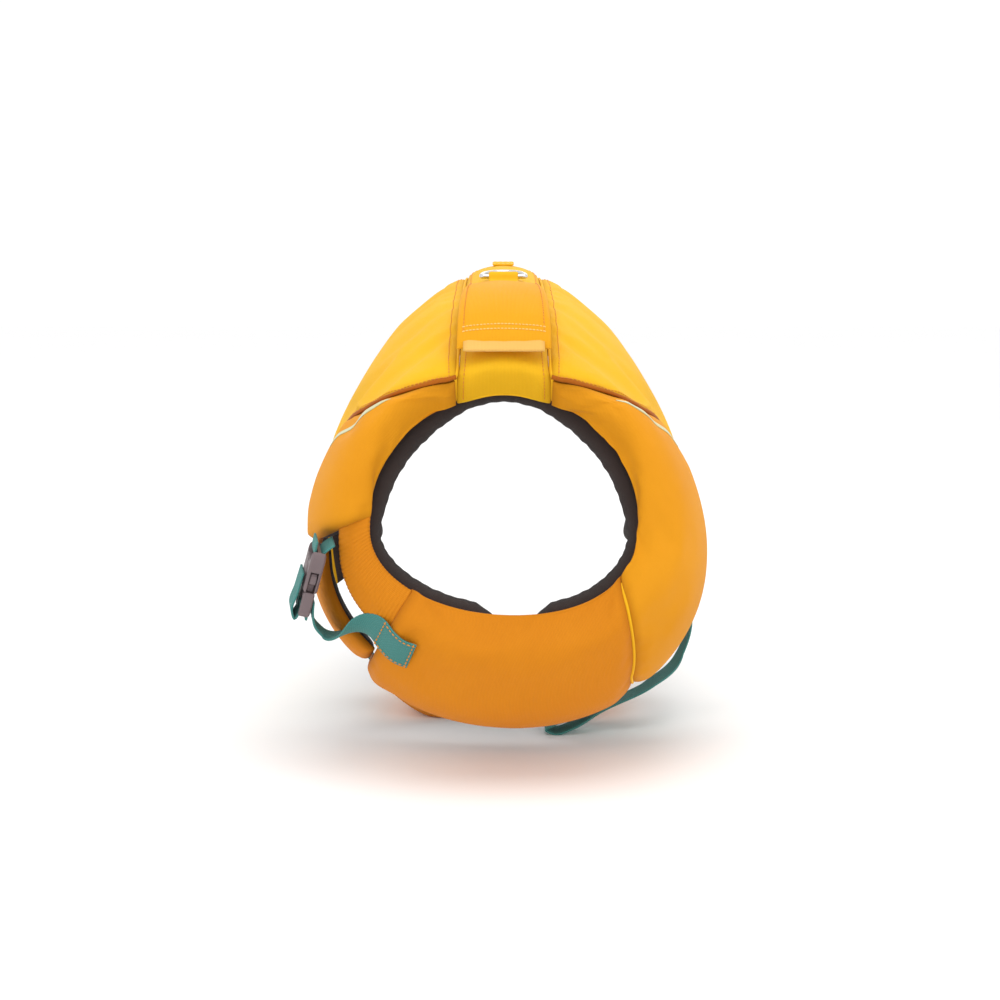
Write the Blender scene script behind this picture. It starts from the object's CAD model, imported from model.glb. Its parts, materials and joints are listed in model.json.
# %% [markdown]
# # A dog's life jacket
# Foam panels are sewn shut in nylon cloth and closed round the dog's neck, chest and belly with
# webbing and side-release buckles. A padded handle and a leash ring sit on the back. The packed
# model gives the size and the place of every piece, and each step below adds one kind of detail.

import json
import math

import bpy
import bmesh
import numpy as np
from mathutils import Matrix, Vector
from mathutils.bvhtree import BVHTree

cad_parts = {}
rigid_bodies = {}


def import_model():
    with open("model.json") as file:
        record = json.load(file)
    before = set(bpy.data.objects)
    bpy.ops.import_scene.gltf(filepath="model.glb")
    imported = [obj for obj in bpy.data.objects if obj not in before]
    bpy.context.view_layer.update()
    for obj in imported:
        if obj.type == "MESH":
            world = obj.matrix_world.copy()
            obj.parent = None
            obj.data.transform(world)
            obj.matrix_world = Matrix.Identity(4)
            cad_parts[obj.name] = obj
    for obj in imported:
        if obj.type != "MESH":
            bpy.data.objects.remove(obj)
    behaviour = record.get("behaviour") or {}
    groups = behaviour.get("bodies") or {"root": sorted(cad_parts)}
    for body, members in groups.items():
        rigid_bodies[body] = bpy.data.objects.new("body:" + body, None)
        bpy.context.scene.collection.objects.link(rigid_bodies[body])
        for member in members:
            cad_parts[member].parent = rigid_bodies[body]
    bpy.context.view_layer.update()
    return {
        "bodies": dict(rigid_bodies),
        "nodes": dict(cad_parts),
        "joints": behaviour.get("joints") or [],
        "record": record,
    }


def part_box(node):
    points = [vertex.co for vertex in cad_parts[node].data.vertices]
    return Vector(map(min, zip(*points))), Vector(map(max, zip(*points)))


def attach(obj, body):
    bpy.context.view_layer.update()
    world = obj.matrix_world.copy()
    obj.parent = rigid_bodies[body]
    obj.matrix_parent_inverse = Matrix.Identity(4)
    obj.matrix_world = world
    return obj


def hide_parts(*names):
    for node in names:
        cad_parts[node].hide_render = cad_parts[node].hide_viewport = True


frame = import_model()

# %% [markdown]
# ## The camera, the light and the floor
# The jacket stands with its neck hole towards the camera, which looks slightly down on it. A
# long lens flattens the shape a little, as a product view does. One wide soft light hangs above
# and weaker ones fill the sides, so that the folds keep gentle shadows.

# %% Camera
camera_data = bpy.data.cameras.new("camera")
camera_data.lens = 62.4
camera_data.sensor_width = 36.0
camera = bpy.data.objects.new("camera", camera_data)
bpy.context.collection.objects.link(camera)
camera.location = (-0.003, -1.4731, 0.4294)
CAMERA_AIM = Vector((-0.003, -0.1891, 0.226))
camera.rotation_euler = (CAMERA_AIM - camera.location).to_track_quat("-Z", "Y").to_euler()
bpy.context.scene.camera = camera
print("the camera stands", round((CAMERA_AIM - camera.location).length, 3), "m from its aim")


# %% Lights and floor
def add_light(name, place, aim, size, power):
    data = bpy.data.lights.new(name, "AREA")
    data.size = size
    data.energy = power
    light = bpy.data.objects.new(name, data)
    light.location = place
    light.rotation_euler = (Vector(aim) - Vector(place)).to_track_quat("-Z", "Y").to_euler()
    bpy.context.collection.objects.link(light)
    return light


MIDDLE = (0.0, 0.0, 0.2)
add_light("top_light", (0.1, -0.5, 1.7), MIDDLE, 1.1, 9)
add_light("left_fill", (-1.5, -0.9, 0.9), MIDDLE, 1.2, 2)
add_light("right_fill", (1.6, -0.8, 0.8), MIDDLE, 1.2, 2)
add_light("back_fill", (0.3, 1.7, 1.2), MIDDLE, 1.2, 3)

world = bpy.data.worlds.new("studio")
world.use_nodes = True
world.node_tree.nodes["Background"].inputs["Color"].default_value = (1.0, 1.0, 1.0, 1)
world.node_tree.nodes["Background"].inputs["Strength"].default_value = 1.04
bpy.context.scene.world = world
bpy.context.scene.view_settings.view_transform = "Standard"

floor_mesh = bpy.data.meshes.new("floor")
floor_mesh.from_pydata([(-6, -6, 0), (6, -6, 0), (6, 6, 0), (-6, 6, 0)], [], [(0, 1, 2, 3)])
floor = bpy.data.objects.new("floor", floor_mesh)
bpy.context.collection.objects.link(floor)
print("four soft lights, a white surround and a pale floor")

# %% [markdown]
# ## The body surface
# Every panel lies on one lofted surface. Its cross-sections run from the neck lip, station 0, to
# the rear hem, station 1, and an angle runs round each of them: 0 is the spine and 180 the middle
# of the belly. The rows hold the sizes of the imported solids, in millimetres.

# %% Smooth curves through rows
MM = 0.001
SHIFT = np.array([-0.011, -9.076, 0.0])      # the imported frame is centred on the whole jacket


def smooth(rows):
    """A function that runs smoothly through rows; the first number of a row is its place."""
    rows = np.array(rows, float)
    at, values = rows[:, 0], rows[:, 1:]
    step = np.diff(at)
    rise = np.diff(values, axis=0) / step[:, None]
    slope = np.empty_like(values)
    slope[0], slope[-1] = rise[0], rise[-1]
    before, after = step[:-1, None], step[1:, None]
    slope[1:-1] = (rise[:-1] * after + rise[1:] * before) / (before + after)

    def curve(where):
        where = np.clip(np.asarray(where, float), at[0], at[-1])
        i = np.clip(np.searchsorted(at, where, side="right") - 1, 0, len(at) - 2)
        h = step[i][..., None]
        t = ((where - at[i]) / step[i])[..., None]
        return ((2 * t**3 - 3 * t**2 + 1) * values[i] + (t**3 - 2 * t**2 + t) * h * slope[i]
                + (3 * t**2 - 2 * t**3) * values[i + 1] + (t**3 - t**2) * h * slope[i + 1])

    return curve


# %% The sections
BODY_LENGTH, HALF, TOP = 378, 158, 392
FRONT = -0.431 * BODY_LENGTH
NECK_FLOOR = 0.357 * TOP
NECK_HEIGHT, NECK_HALF = 158, 101
UNDERSIDE = -8
CHEST_SAG = 8
# station, y of the sides, how far top and bottom lean back, half width, top, bottom and widest
# heights, roundness of the upper and the lower half
section_rows = [
    [0.00, FRONT, 30, -20, NECK_HALF, NECK_FLOOR + NECK_HEIGHT, NECK_FLOOR,
     NECK_FLOOR + 0.39 * NECK_HEIGHT, 2.1, 2.1],
    [0.05, FRONT - 9, 24, -24, NECK_HALF + 12, NECK_FLOOR + NECK_HEIGHT + 16, NECK_FLOOR - 18,
     NECK_FLOOR + 0.39 * NECK_HEIGHT - 4, 2.1, 2.2],
    [0.16, FRONT + 5, 16, -26, 0.867 * HALF, 0.847 * TOP, 0.209 * TOP, 0.48 * TOP, 1.95, 2.2],
    [0.30, FRONT + 0.146 * BODY_LENGTH, 12, -44, 0.994 * HALF, 0.893 * TOP, 0.117 * TOP,
     0.444 * TOP, 1.8, 2.05],
    [0.45, FRONT + 0.312 * BODY_LENGTH, 0, -20, HALF, 0.939 * TOP, 0.077 * TOP, 0.449 * TOP,
     1.72, 2.15],
    [0.56, FRONT + 0.452 * BODY_LENGTH, 0, 0, 0.987 * HALF, 0.962 * TOP, UNDERSIDE,
     0.464 * TOP, 1.72, 2.2],
    [0.82, FRONT + 0.778 * BODY_LENGTH, 0, 0, 0.937 * HALF, 0.995 * TOP, UNDERSIDE, 0.5 * TOP,
     1.74, 2.2],
    [1.00, FRONT + BODY_LENGTH, 0, 0, 0.892 * HALF, TOP, 0.051 * TOP, 0.52 * TOP, 1.75, 2.2],
]
section_at = smooth(section_rows)


def surface(station, angle):
    """Points of the body surface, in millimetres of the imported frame."""
    station, angle = np.broadcast_arrays(np.asarray(station, float), np.asarray(angle, float))
    (side, top_lean, low_lean, width, high, low, middle, upper,
     lower) = np.moveaxis(section_at(station), -1, 0)
    c, s = np.cos(np.radians(angle)), np.sin(np.radians(angle))
    is_up = c >= 0
    power = np.where(is_up, upper, lower)
    q = np.abs(c) ** (2 / power)
    sag = np.where(is_up, 0, CHEST_SAG * q * q * np.clip((0.56 - station) / 0.16, 0, 1))
    x = width * np.sign(s) * np.abs(s) ** (2 / power) + sag
    y = side + np.where(is_up, top_lean, low_lean) * q
    z = middle + (np.where(is_up, high, low) - middle) * q
    return np.stack([x, y, z], -1) + SHIFT


def unit(vectors):
    return vectors / np.maximum(np.linalg.norm(vectors, axis=-1, keepdims=True), 1e-9)


def outward(station, angle):
    station = np.asarray(station, float)
    ahead, behind = np.minimum(station + 0.05, 1), np.maximum(station - 0.05, 0)
    lengthwise = surface(ahead, angle) - surface(behind, angle)
    angle = np.asarray(angle, float)
    around = surface(station, angle + 2) - surface(station, angle - 2)
    return -unit(np.cross(lengthwise, around))


def inside(station, angle, depth):
    """Points `depth` millimetres inside the surface, with the belly trimmed flat."""
    station, angle = np.asarray(station, float), np.asarray(angle, float)
    depth = np.asarray(depth, float)
    point = surface(station, angle) - outward(station, angle) * depth[..., None]
    low = np.where(station > 0.5, np.maximum(depth, 0), -1e3)
    point[..., 2] = np.maximum(point[..., 2], low)
    return point


spine_line = surface(np.linspace(0, 1, 60), 0)
spine_length = np.linalg.norm(np.diff(spine_line, axis=0), axis=1).sum()
print("the spine is", round(spine_length, 1), "mm long")


# %% Places on the surface
def angle_at_width(station, x):
    """The angle at which the upper half of a section reaches x."""
    section = section_at(station)
    share = np.clip(np.abs(x) / section[..., 3], 0, 1)
    return np.degrees(np.arcsin(share ** (section[..., 7] / 2))) * np.sign(x)


def angle_at_height(station, z):
    """The angle at which the lower half of a section comes down to z."""
    section = section_at(station)
    share = (section[..., 6] - z) / (section[..., 6] - section[..., 5])
    return 90 + np.degrees(np.arcsin(np.clip(share, 0, 1) ** (section[..., 8] / 2)))


def bisect(low, high, is_below):
    for _ in range(40):
        middle = (low + high) / 2
        low, high = (middle, high) if is_below(middle) else (low, middle)
    return low


def station_at(y):
    """The station whose flanks lie at y, counted from the widest section's own zero."""
    return bisect(0.06, 1.0, lambda station: section_at(station)[0] < y)


SPINE_HALF = 36
wavy_seam = smooth([[20, 0.08], [30, 0.13], [40, 0.205], [47, 0.28], [58, 0.47], [76, 0.55],
                    [98, 0.553]])
collar_rear = smooth([[98, 0.553], [112, 0.5], [126, 0.445], [142, 0.42]])
HEM_ANGLE = 86
CHEST_REAR = 0.42
CHEST_RIGHT_ANGLE = 134
SIDE_HEM_HEIGHT = 122
corner_angle = 22.0
for _ in range(20):
    corner_angle = float(angle_at_width(wavy_seam(corner_angle)[..., 0], SPINE_HALF))
print("the wavy seam meets the spine strip at", round(corner_angle, 1), "degrees")

# %% [markdown]
# ## A padded panel
# On the real jacket each panel is two layers of cloth with foam between them, sewn together all
# round. Here a panel is one closed mesh: an outer sheet, an inner sheet and the sewn edge. Its
# grid follows the panel's own outline, so the weave and the seams follow it too. Cloth
# simulation then puffs the outer sheet between its seams and gives it soft wrinkles.

# %% Grid lines and depths
PANEL_THICKNESS = 18
SEAM_THICKNESS = 2.6
SEAM_DROP = 5.0
SEAM_ROUND = 13.0
LIP_LENGTH = 30


def spaced(length, spacing, near=(0, 1.6, 4, 7.5, 12)):
    """Places from 0 to 1 along an edge: close together near both ends, then evenly spaced."""
    ends = [distance / length for distance in near]
    middle = np.linspace(ends[-1], 1 - ends[-1], max(2, round((1 - 2 * ends[-1]) * length
                                                              / spacing) + 1))
    return np.concatenate([ends[:-1], middle, [1 - e for e in reversed(ends[:-1])]])


def even_places(points, lengths):
    """Turns shares of the walked distance along points into shares of the parameter."""
    walked = np.concatenate([[0], np.cumsum(np.linalg.norm(np.diff(points, axis=0), axis=1))])
    return np.interp(lengths, walked / walked[-1], np.linspace(0, 1, len(points))), walked[-1]


def panel_grid(mapping, spacing):
    """Lines across (s) and along (t) a panel, about `spacing` millimetres apart."""
    many = np.linspace(0, 1, 160)
    ones = np.ones_like(many)
    across = surface(*mapping(many, 0.5 * ones))
    along = surface(*mapping(0.5 * ones, many))
    width = np.linalg.norm(np.diff(across, axis=0), axis=1).sum()
    length = np.linalg.norm(np.diff(along, axis=0), axis=1).sum()
    s, _ = even_places(across, spaced(width, spacing))
    t, _ = even_places(along, spaced(length, spacing))
    return np.meshgrid(s, t, indexing="ij")


def walked(points, axis):
    step = np.linalg.norm(np.diff(points, axis=axis), axis=-1)
    start = np.zeros_like(np.take(step, [0], axis=axis))
    return np.concatenate([start, np.cumsum(step, axis=axis)], axis=axis)


def rounded(distance):
    share = np.clip(distance / SEAM_ROUND, 0, 1)
    return np.sqrt(1 - (1 - share) ** 2)


# %% From grid to mesh
def sheet_faces(rows, columns, offset, turned):
    i, j = np.meshgrid(np.arange(rows - 1), np.arange(columns - 1), indexing="ij")
    a = offset + (i * columns + j).ravel()
    quads = np.stack([a, a + columns, a + columns + 1, a + 1], 1)
    return quads[:, ::-1] if turned else quads


def rim_faces(rows, columns):
    """Joins the outer sheet's rim to the inner sheet's, once round."""
    ring = ([j for j in range(columns)] + [i * columns + columns - 1 for i in range(1, rows)]
            + [(rows - 1) * columns + j for j in range(columns - 2, -1, -1)]
            + [i * columns for i in range(rows - 2, 0, -1)])
    lower = rows * columns
    return [(ring[k], ring[(k + 1) % len(ring)], ring[(k + 1) % len(ring)] + lower,
             ring[k] + lower) for k in range(len(ring))]


def closed_mesh(name, outer, inner, uv):
    """A closed mesh of two grids and the rim between them, in metres, with faces outwards."""
    rows, columns = outer.shape[:2]
    points = np.concatenate([outer.reshape(-1, 3), inner.reshape(-1, 3)]) * MM
    faces = np.concatenate([sheet_faces(rows, columns, 0, False),
                            sheet_faces(rows, columns, rows * columns, True)]).tolist()
    faces += rim_faces(rows, columns)
    mesh = bpy.data.meshes.new(name)
    mesh.from_pydata(points.tolist(), [], faces)
    layer = mesh.uv_layers.new(name="cloth")
    flat = np.tile(uv.reshape(-1, 2), (2, 1))
    vertex = np.empty(len(mesh.loops), int)
    mesh.loops.foreach_get("vertex_index", vertex)
    layer.data.foreach_set("uv", flat[vertex].ravel())
    work = bmesh.new()
    work.from_mesh(mesh)
    if work.calc_volume(signed=True) < 0:
        bmesh.ops.reverse_faces(work, faces=work.faces)
    work.to_mesh(mesh)
    work.free()
    mesh.polygons.foreach_set("use_smooth", [True] * len(mesh.polygons))
    thing = bpy.data.objects.new(name, mesh)
    bpy.context.collection.objects.link(thing)
    return thing


def whole_mesh(name, points, faces, material, places=None):
    """A smooth closed mesh; places gives each point's cloth coordinates, where it has them."""
    mesh = bpy.data.meshes.new(name)
    mesh.from_pydata([tuple(point) for point in points], [], faces)
    if places is not None:
        layer = mesh.uv_layers.new(name="cloth")
        for polygon in mesh.polygons:
            for loop in polygon.loop_indices:
                layer.data[loop].uv = places[mesh.loops[loop].vertex_index]
    work = bmesh.new()
    work.from_mesh(mesh)
    bmesh.ops.recalc_face_normals(work, faces=work.faces)
    work.to_mesh(mesh)
    work.free()
    mesh.polygons.foreach_set("use_smooth", [True] * len(mesh.polygons))
    mesh.materials.append(material)
    piece = bpy.data.objects.new(name, mesh)
    bpy.context.collection.objects.link(piece)
    return piece


def ring_faces(rows, around):
    """The faces between rows of points that go once round."""
    return [(i * around + k, i * around + (k + 1) % around,
             (i + 1) * around + (k + 1) % around, (i + 1) * around + k)
            for i in range(rows - 1) for k in range(around)]


def end_faces(first, around, turned):
    """Closes one end of a flat band whose outline is once round."""
    quads = [(first + k, first + k + 1, first + around - 2 - k, first + around - 1 - k)
             for k in range(around // 2 - 1)]
    return [quad[::-1] for quad in quads] if turned else quads


def panel_sheets(mapping, spacing, neck_edge=False, drop=0.0, thickness=PANEL_THICKNESS,
                 fullness=None, relief=None, bulge=None):
    """The outer and inner grid of a panel, its cloth coordinates and its distance to a seam."""
    s, t = panel_grid(mapping, spacing)
    station, angle = mapping(s, t)
    base = surface(station, angle)
    u, v = walked(base, 0), walked(base, 1)
    near_s = np.minimum(u, u[-1:] - u)
    near_t = v[:, -1:] - v
    sides, ends = rounded(near_s), rounded(near_t)
    if not neck_edge:
        ends = ends * rounded(v)
        near_t = np.minimum(near_t, v)
    lip = np.clip(v / LIP_LENGTH, 0, 1) ** 0.6 if neck_edge else 1.0
    full = fullness(station, angle) if fullness else 1.0
    seam_drop = (2 + (SEAM_DROP - 2) * full) * (0.2 + 0.8 * lip)
    outer_depth = drop + seam_drop * (1 - sides * ends)
    thick = 7 + (thickness - 7) * full
    inner_depth = outer_depth + SEAM_THICKNESS + (thick - SEAM_THICKNESS) * sides * ends * lip
    if bulge is not None:
        inner_depth = inner_depth + bulge(angle, v) * sides
    if relief is not None:
        outer_depth = outer_depth - relief(u, v, u[-1:], v[:, -1:]) * sides * ends
    outer = inside(station, angle, outer_depth)
    inner = inside(station, angle, inner_depth)
    uv = np.stack([u, v], -1) * MM
    return outer, inner, uv, np.minimum(near_s, near_t), v


# %% Cloth
def puff(thing, rows, columns, seam_distance, pressure, slack, limit=(3.0, 5.5)):
    """Simulates the outer sheet: it swells and wrinkles but may leave its place only so far."""
    scene = bpy.context.scene
    mesh = thing.data
    count = rows * columns
    rest = np.empty(len(mesh.vertices) * 3)
    mesh.vertices.foreach_get("co", rest)
    rest = rest.reshape(-1, 3)
    normals = np.array([vertex.normal[:] for vertex in mesh.vertices])
    held = thing.vertex_groups.new(name="held")
    fade = np.clip(1 - seam_distance.ravel() / 16.0, 0, 1)
    for index in range(count):
        held.add([index], float(max(0.06, fade[index])), "REPLACE")
    held.add(list(range(count, 2 * count)), 1.0, "REPLACE")
    for index in np.nonzero(seam_distance.ravel() < 3)[0]:
        held.add([int(index)], 1.0, "REPLACE")
    cloth = thing.modifiers.new("cloth", "CLOTH")
    settings = cloth.settings
    settings.quality = 5
    settings.mass = 0.25
    settings.tension_stiffness = 12
    settings.compression_stiffness = 12
    settings.shear_stiffness = 4
    settings.bending_stiffness = 0.15
    settings.air_damping = 3
    settings.use_pressure = True
    settings.uniform_pressure_force = pressure
    settings.vertex_group_mass = "held"
    settings.pin_stiffness = 0.6
    settings.shrink_min = -slack
    settings.effector_weights.gravity = 0
    cloth.collision_settings.use_collision = False
    cloth.point_cache.frame_start = 1
    cloth.point_cache.frame_end = 16
    for step in range(1, 17):
        scene.frame_set(step)
    graph = bpy.context.evaluated_depsgraph_get()
    settled = thing.evaluated_get(graph).to_mesh()
    moved = np.empty(len(settled.vertices) * 3)
    settled.vertices.foreach_get("co", moved)
    thing.evaluated_get(graph).to_mesh_clear()
    thing.modifiers.remove(cloth)
    scene.frame_set(1)
    thing.vertex_groups.clear()
    travel = moved.reshape(-1, 3) - rest
    out = (travel * normals).sum(1)
    capped = np.clip(out, -limit[0] * MM, limit[1] * MM)
    # what passes the cap is pressed back along the normal, and sideways travel is kept small
    sideways = travel - out[:, None] * normals
    length = np.linalg.norm(sideways, axis=1, keepdims=True)
    sideways *= np.minimum(1, 3 * MM / np.maximum(length, 1e-9))
    placed = rest + capped[:, None] * normals + sideways
    placed[count:] = rest[count:]
    mesh.vertices.foreach_set("co", placed.ravel())
    mesh.update()
    print("   ", thing.name, "moved out by", round(float(out[:count].max()) * 1000, 1), "mm")


def refine(thing, levels=1):
    """Applies a subdivision surface."""
    modifier = thing.modifiers.new("smooth", "SUBSURF")
    modifier.levels = levels
    modifier.render_levels = levels
    modifier.boundary_smooth = "PRESERVE_CORNERS"
    graph = bpy.context.evaluated_depsgraph_get()
    mesh = bpy.data.meshes.new_from_object(thing.evaluated_get(graph))
    thing.modifiers.remove(modifier)
    old = thing.data
    mesh.name = old.name
    thing.data = mesh
    bpy.data.meshes.remove(old)
    mesh.polygons.foreach_set("use_smooth", [True] * len(mesh.polygons))
    return thing


print("panels are", PANEL_THICKNESS, "mm thick and", SEAM_THICKNESS, "mm at a sewn edge")

# %% [markdown]
# ## The panels' outlines
# The spine strip runs the whole length of the back. A side panel meets the collar along a wavy
# seam. The collar runs from the spine to the chest on the dog's left, and ends in a hem flap
# above the strap on its right. Four edge lines that meet at their corners make a patch.


# %% Patches
def patch(start, end, first, last):
    """A map from (s, t) to station and angle between four edge lines."""
    def mapping(s, t):
        zero, one = np.zeros_like(s), np.ones_like(s)
        sums = []
        for k in (0, 1):
            edges = (start(s)[k] * (1 - t) + end(s)[k] * t + first(t)[k] * (1 - s)
                     + last(t)[k] * s)
            corners = ((start(zero)[k] * (1 - s) + start(one)[k] * s) * (1 - t)
                       + (end(zero)[k] * (1 - s) + end(one)[k] * s) * t)
            sums.append(edges - corners)
        return sums[0], sums[1]
    return mapping


def beside_spine(station):
    return angle_at_width(station, SPINE_HALF + 0.3)


def seam_station(angle):
    return wavy_seam(angle)[..., 0]


COLLAR_GATHER = 0.018


def collar_end(angle):
    angle = np.asarray(angle, float)
    gathered = seam_station(angle) - COLLAR_GATHER * np.clip((40 - angle) / 16, 0, 1)
    return np.where(angle > 98, collar_rear(angle)[..., 0], gathered)


def chest_edge(station):
    return 122 + 20 * np.clip(np.asarray(station, float) / 0.25, 0, 1) ** 0.6


def thin_corner(station, angle):
    return np.clip((np.abs(angle) - corner_angle) / 24 + (station - 0.17) / 0.12, 0, 1)


# %% The outline of each panel
def spine_map(s, t):
    x = (2 * s - 1) * (SPINE_HALF - 0.4)
    return t, angle_at_width(t, x)


def hem_angle(station):
    return angle_at_height(station, SIDE_HEM_HEIGHT)


side_end = float(hem_angle(np.array(seam_station(98.0))))


def side_map(sign):
    def angle_of(s):
        return corner_angle + (side_end - corner_angle) * s

    def beside(t):
        return seam_station(corner_angle) * (1 - t) + t

    mapping = patch(
        lambda s: (seam_station(angle_of(s)) + 0.001, angle_of(s)),
        lambda s: (np.ones_like(s), beside_spine(1.0) * (1 - s) + hem_angle(1.0) * s),
        lambda t: (beside(t), corner_angle + (beside_spine(beside(t)) - corner_angle)
                   * np.clip(8 * t, 0, 1)),
        lambda t: (seam_station(side_end) * (1 - t) + t,
                   hem_angle(seam_station(side_end) * (1 - t) + t)))

    def signed(s, t):
        station, angle = mapping(s, t)
        return station, sign * angle
    return signed


def collar_map(sign, edge, end_angle):
    def angle_of(s):
        return corner_angle + (end_angle - corner_angle) * s

    def beside(t):
        return t * collar_end(corner_angle)

    def below(t):
        return t * collar_end(end_angle)

    mapping = patch(
        lambda s: (np.zeros_like(s), beside_spine(0.0) * (1 - s) + edge(np.zeros_like(s)) * s),
        lambda s: (collar_end(angle_of(s)), angle_of(s)),
        lambda t: (beside(t), beside_spine(beside(t))),
        lambda t: (below(t), edge(below(t))))

    def signed(s, t):
        station, angle = mapping(s, t)
        return station, sign * angle
    return signed


def chest_map(s, t):
    station = CHEST_REAR * t
    return station, chest_edge(station) * (1 - s) + (360 - CHEST_RIGHT_ANGLE) * s


def shoulder_map(s, t):
    return 0.225 + (CHEST_REAR - 0.225) * t, -(HEM_ANGLE + 1.5 + (CHEST_RIGHT_ANGLE - 1.2
                                                                 - HEM_ANGLE - 1.5) * s)


BELLY_FRONT, BELLY_DEPTH, BELLY_HALF_ANGLE = 10, 116, 42
belly_first, belly_last = station_at(BELLY_FRONT), station_at(BELLY_FRONT + BELLY_DEPTH)


def belly_map(s, t):
    return (belly_first + (belly_last - belly_first) * t,
            180 + (2 * s - 1) * BELLY_HALF_ANGLE)


print("the belly panel runs from station", round(belly_first, 3), "to", round(belly_last, 3))

# %% [markdown]
# ## Finishes
# The covers are nylon with a fine rib, the lining is a softer dark knit, and the straps are
# woven webbing. Each material is a small tree of nodes. One class lets shader sockets be added
# and multiplied like numbers, and one method makes every other node.

# %% Shader sockets as numbers
class Value:
    """A socket of a material that Python can calculate with."""

    def __init__(self, finish, socket):
        self.finish = finish
        self.socket = socket

    def math(self, operation, *others, turned=False):
        values = [self, *others]
        if turned:
            values.reverse()
        return self.finish.node("ShaderNodeMath", {"operation": operation},
                                dict(enumerate(values)))

    def __add__(self, other): return self.math("ADD", other)
    def __radd__(self, other): return self.math("ADD", other)
    def __sub__(self, other): return self.math("SUBTRACT", other)
    def __rsub__(self, other): return self.math("SUBTRACT", other, turned=True)
    def __mul__(self, other): return self.math("MULTIPLY", other)
    def __rmul__(self, other): return self.math("MULTIPLY", other)
    def __truediv__(self, other): return self.math("DIVIDE", other)
    def __pow__(self, other): return self.math("POWER", other)
    def sin(self): return self.math("SINE")
    def absolute(self): return self.math("ABSOLUTE")
    def above(self, level): return self.math("GREATER_THAN", level)


class Finish:
    """A material under construction."""

    def __init__(self, name, **fixed):
        self.material = bpy.data.materials.new(name)
        self.material.use_nodes = True
        self.tree = self.material.node_tree
        self.shader = self.tree.nodes["Principled BSDF"]
        for key, value in fixed.items():
            self.shader.inputs[key.replace("_", " ")].default_value = value

    def node(self, kind, settings=None, sockets=None, output=0):
        made = self.tree.nodes.new(kind)
        for key, value in (settings or {}).items():
            if key == "stops":
                ramp = made.color_ramp
                while len(ramp.elements) < len(value):
                    ramp.elements.new(0.5)
                for element, (place, colour) in zip(ramp.elements, value):
                    element.position = place
                    element.color = colour
            else:
                setattr(made, key, value)
        for key, value in (sockets or {}).items():
            if isinstance(value, Value):
                self.tree.links.new(value.socket, made.inputs[key])
            else:
                made.inputs[key].default_value = value
        return Value(self, made.outputs[output])

    def put(self, socket, value):
        self.tree.links.new(value.socket, self.shader.inputs[socket])

    def cloth_uv(self):
        uv = self.node("ShaderNodeUVMap", {"uv_map": "cloth"})
        split = self.tree.nodes.new("ShaderNodeSeparateXYZ")
        self.tree.links.new(uv.socket, split.inputs[0])
        return uv, Value(self, split.outputs[0]), Value(self, split.outputs[1])

    def noise(self, vector, scale, detail=2.0):
        return self.node("ShaderNodeTexNoise", {}, {"Vector": vector, "Scale": scale,
                                                    "Detail": detail, "Roughness": 0.55})

    def place(self):
        return self.node("ShaderNodeTexCoord", {}, {}, output="Object")

    def mix(self, share, first, second):
        made = self.tree.nodes.new("ShaderNodeMix")
        made.data_type = "RGBA"
        made.clamp_factor = True
        for key, value in ((0, share), (6, first), (7, second)):
            if isinstance(value, Value):
                self.tree.links.new(value.socket, made.inputs[key])
            else:
                made.inputs[key].default_value = value
        return Value(self, made.outputs[2])

    def attribute(self, name):
        return self.node("ShaderNodeAttribute", {"attribute_name": name}, {}, output="Fac")

    def bump(self, height, distance, strength=1.0):
        self.put("Normal", self.node("ShaderNodeBump", {}, {
            "Height": height, "Distance": distance, "Strength": strength}))


def linear(red, green, blue):
    """The colour that a screen shows as these numbers from 0 to 255."""
    parts = [part / 255 for part in (red, green, blue)]
    return tuple(part / 12.92 if part <= 0.04045 else ((part + 0.055) / 1.055) ** 2.4
                 for part in parts) + (1.0,)


def shade(colour, factor):
    return tuple(part * factor for part in colour[:3]) + (1.0,)


print("finishes are built from nodes")

# %% [markdown]
# ## Cloth finishes
# The rib of the nylon runs round the body, about a millimetre apart, and finer threads cross
# it. The colour wanders a little, darkens where the cloth goes down into a seam, and the ribs
# catch the light through a bump.

# %% Nylon
TURN = 2 * math.pi
RIB_PITCH = 0.00105
THREAD_PITCH = 0.0007


def nylon(name, colour, deep, rib=1.0, roughness=0.72):
    cloth = Finish(name, Sheen_Weight=0.03, Sheen_Roughness=0.4, Specular_IOR_Level=0.2)
    uv, u, v = cloth.cloth_uv()
    ribs = (u * (TURN / RIB_PITCH)).sin() * 0.5 + 0.5
    threads = (v * (TURN / THREAD_PITCH)).sin() * 0.5 + 0.5
    place = cloth.place()
    broad = cloth.noise(place, 9.0, 3.0)
    fibres = cloth.noise(place, 1500.0, 1.0)
    seam = cloth.attribute("seam")
    wander = (broad - 0.5) * 1.3 + 0.35 + (fibres - 0.5) * 0.22
    worn = cloth.mix(wander, colour, shade(deep, 0.97))
    ribbed = cloth.mix((1.0 - ribs) * 0.16 * rib + (1.0 - threads) * 0.05, worn,
                       shade(deep, 0.55))
    sunk = cloth.mix(seam ** 1.5 * 0.75, ribbed, shade(deep, 0.62))
    cloth.put("Base Color", sunk)
    cloth.put("Roughness", (fibres - 0.5) * 0.2 + roughness + seam * 0.1)
    cloth.bump(ribs * 0.75 * rib + threads * 0.25 + fibres * 0.5, 0.00016)
    return cloth.material


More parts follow.
